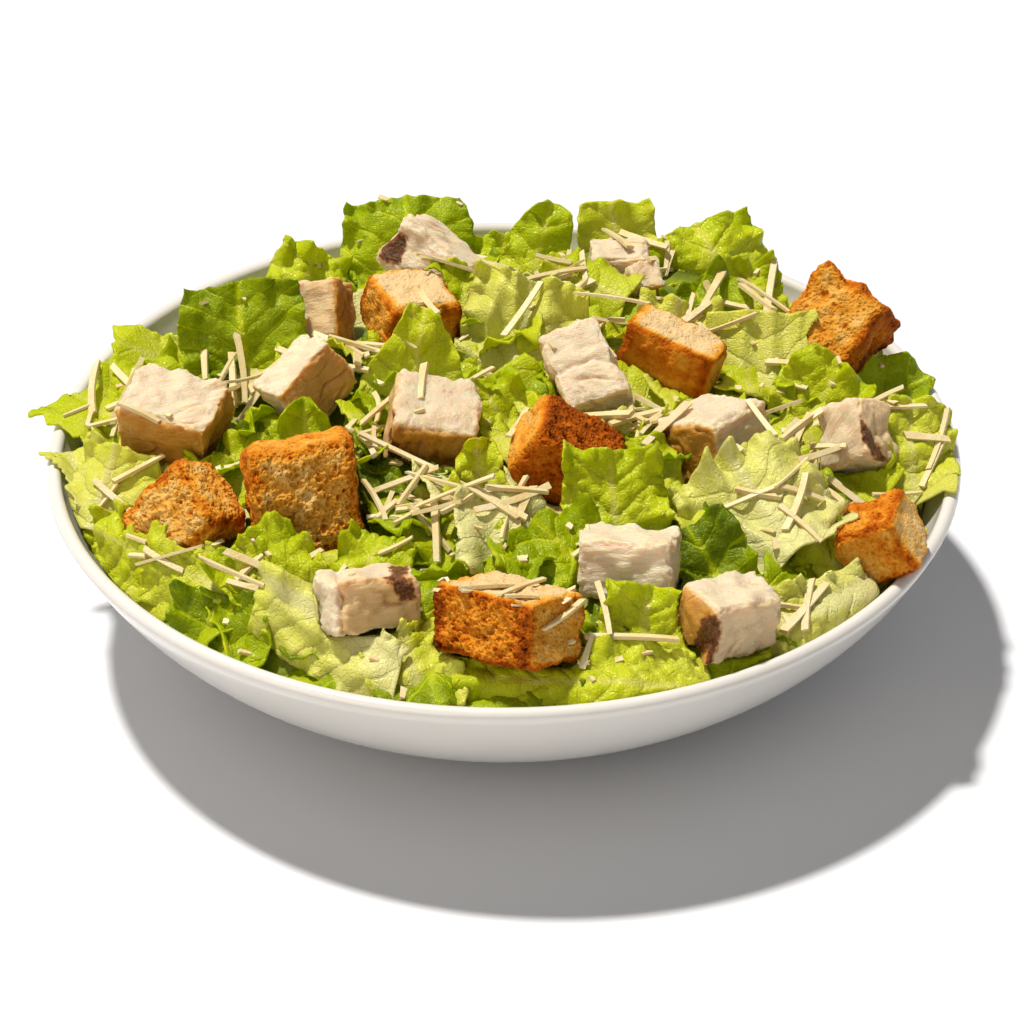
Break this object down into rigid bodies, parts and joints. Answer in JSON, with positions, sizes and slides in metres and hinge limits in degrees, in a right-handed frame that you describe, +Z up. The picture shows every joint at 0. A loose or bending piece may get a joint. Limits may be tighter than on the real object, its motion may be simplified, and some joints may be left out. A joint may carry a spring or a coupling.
{
  "type": "chicken caesar salad",
  "caption": "Chopped romaine salad heaped in a wide, shallow, round white bowl, with diced grilled chicken, toasted croutons and shreds of hard cheese on top.",
  "frame": {"origin": "middle of the bowl's flat foot, on the surface that it stands on", "axes": "+Z up out of the bowl; -Y towards the person it is served to; +X to that person's right"},
  "size_m": [0.2161, 0.21, 0.0751],
  "materials": {
    "glaze": "glossy white glaze",
    "lettuce": "moist, slightly glossy leaf",
    "crouton": "dry toasted crumb",
    "chicken": "moist cooked meat"
  },
  "bodies": {
    "root": {"bowl": "glaze", "lettuce_heap": "lettuce", "crouton_1": "crouton", "crouton_2": "crouton", "crouton_3": "crouton", "crouton_4": "crouton", "crouton_5": "crouton", "crouton_6": "crouton", "crouton_7": "crouton", "crouton_8": "crouton", "chicken_1": "chicken", "chicken_2": "chicken", "chicken_3": "chicken", "chicken_4": "chicken", "chicken_5": "chicken", "chicken_6": "chicken", "chicken_7": "chicken", "chicken_8": "chicken", "chicken_9": "chicken", "chicken_10": "chicken", "chicken_11": "chicken", "chicken_12": "chicken", "chicken_13": "chicken"}
  },
  "joints": []
}
